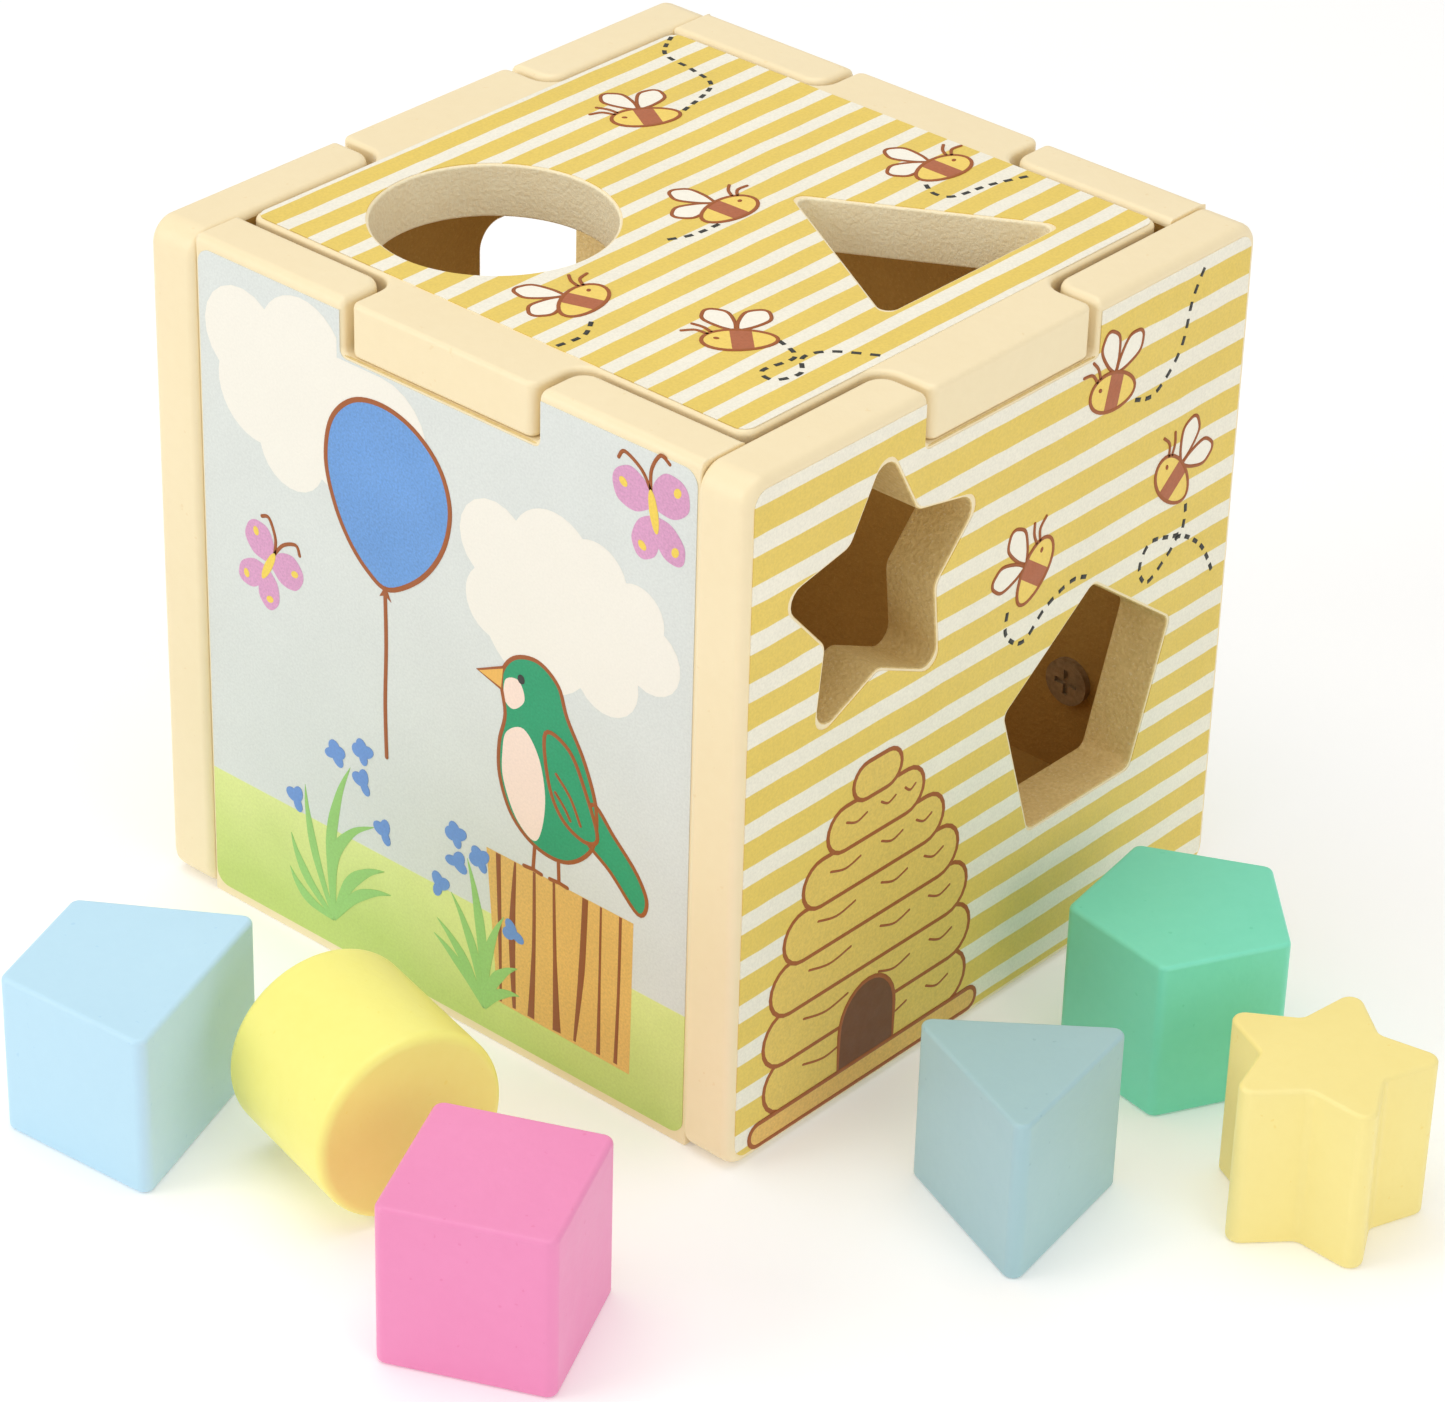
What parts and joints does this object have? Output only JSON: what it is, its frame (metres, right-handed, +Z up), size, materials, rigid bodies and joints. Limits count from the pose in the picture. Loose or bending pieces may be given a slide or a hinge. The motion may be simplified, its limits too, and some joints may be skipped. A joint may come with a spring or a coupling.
{
  "type": "shape sorter",
  "caption": "Wooden shape sorting box with a lift-off tabbed lid, holes in the lid and two sides, and loose painted blocks to post through them.",
  "frame": {"origin": "middle of the box's footprint, on the surface that the box and its blocks stand on", "axes": "+Z up; the scenery front board faces -Y and the board with the star and pentagon holes faces +X"},
  "size_m": [0.2358, 0.2151, 0.1364],
  "materials": {
    "painted_board": "cream paint on fibreboard, softly rounded edges, satin",
    "raw_board": "bare brown fibreboard",
    "scenery_print": "matt printed film with a pale sky, clouds and green hills",
    "striped_print": "matt printed film with gold and off-white stripes and small bees",
    "dowel_wood": "plain turned wood",
    "screw_steel": "dull zinc, a little tarnished",
    "yellow_paint": "yellow paint on solid wood, satin",
    "grey_blue_paint": "grey-blue paint on solid wood, satin",
    "cream_yellow_paint": "pale yellow paint on solid wood, satin",
    "green_paint": "mint green paint on solid wood, satin",
    "pink_paint": "pink paint on solid wood, satin",
    "light_blue_paint": "light blue paint on solid wood, satin"
  },
  "bodies": {
    "box": {"wall_front": "painted_board", "wall_back": "painted_board", "wall_left": "painted_board", "wall_right": "painted_board", "base_panel": "raw_board", "print_front": "scenery_print", "print_back": "scenery_print", "print_left": "striped_print", "print_right": "striped_print", "dowels_front_left": "dowel_wood", "dowels_front_right": "dowel_wood", "dowels_back_left": "dowel_wood", "dowels_back_right": "dowel_wood", "dowels_base": "dowel_wood", "back_wall_screw": "screw_steel"},
    "lid": {"lid_panel": "painted_board", "print_lid": "striped_print"},
    "cylinder": {"block_cylinder": "yellow_paint"},
    "triangle": {"block_triangle": "grey_blue_paint"},
    "star": {"block_star": "cream_yellow_paint"},
    "pentagon": {"block_pentagon": "green_paint"},
    "cube": {"block_cube": "pink_paint"},
    "trapezoid": {"block_trapezoid": "light_blue_paint"}
  },
  "joints": [
    {"name": "lid_lift", "type": "slide", "parent": "box", "child": "lid", "axis": [0, 0, 1], "range_m": [0, 0.12]},
    {"name": "cylinder_lift", "type": "slide", "parent": "box", "child": "cylinder", "axis": [0, 0, 1], "range_m": [0, 0.16]},
    {"name": "triangle_lift", "type": "slide", "parent": "box", "child": "triangle", "axis": [0, 0, 1], "range_m": [0, 0.16]},
    {"name": "star_lift", "type": "slide", "parent": "box", "child": "star", "axis": [0, 0, 1], "range_m": [0, 0.16]},
    {"name": "pentagon_lift", "type": "slide", "parent": "box", "child": "pentagon", "axis": [0, 0, 1], "range_m": [0, 0.16]},
    {"name": "cube_lift", "type": "slide", "parent": "box", "child": "cube", "axis": [0, 0, 1], "range_m": [0, 0.16]},
    {"name": "trapezoid_lift", "type": "slide", "parent": "box", "child": "trapezoid", "axis": [0, 0, 1], "range_m": [0, 0.16]}
  ]
}
